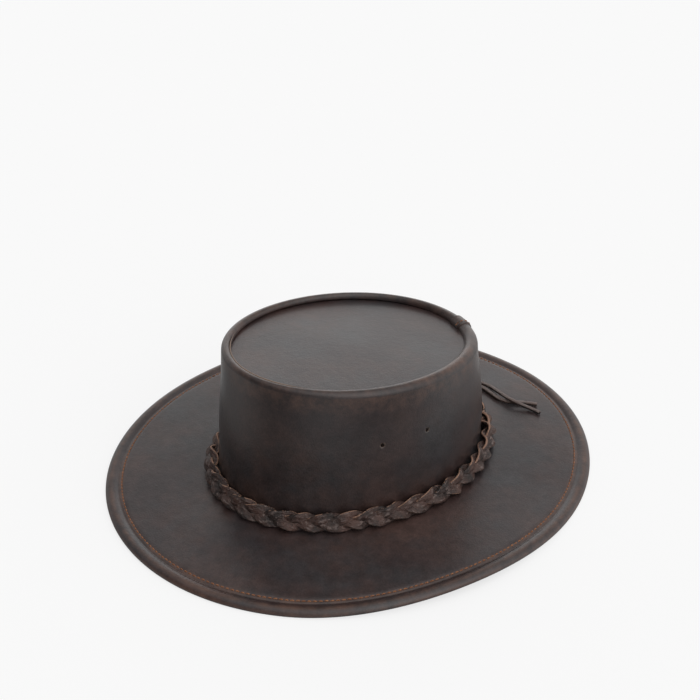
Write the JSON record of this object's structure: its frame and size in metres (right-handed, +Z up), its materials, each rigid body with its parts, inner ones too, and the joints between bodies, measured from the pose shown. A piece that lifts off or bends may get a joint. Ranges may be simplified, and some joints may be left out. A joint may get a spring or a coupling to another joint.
{
  "type": "leather hat",
  "caption": "Wide-brimmed hat of dark brown leather with a flat inset top, a rolled rim, a stitched brim edge and a plaited leather band tied at the back.",
  "frame": {"origin": "middle of the hat's plan on the surface that it stands on, below the brim", "axes": "-Y is the front, +X the wearer's left, +Z up"},
  "size_m": [0.3292, 0.3698, 0.1148],
  "materials": {
    "hat_leather": "dark brown waxed pull-up leather, mottled and lightly scuffed, with a soft satin sheen",
    "lace_leather": "brown leather lace with paler cut edges"
  },
  "bodies": {
    "root": {"brim": "hat_leather", "crown_side": "hat_leather", "crown_top": "hat_leather", "hat_band": "lace_leather", "band_knot": "lace_leather", "lace_tail_left": "lace_leather", "lace_tail_right": "lace_leather"}
  },
  "joints": []
}
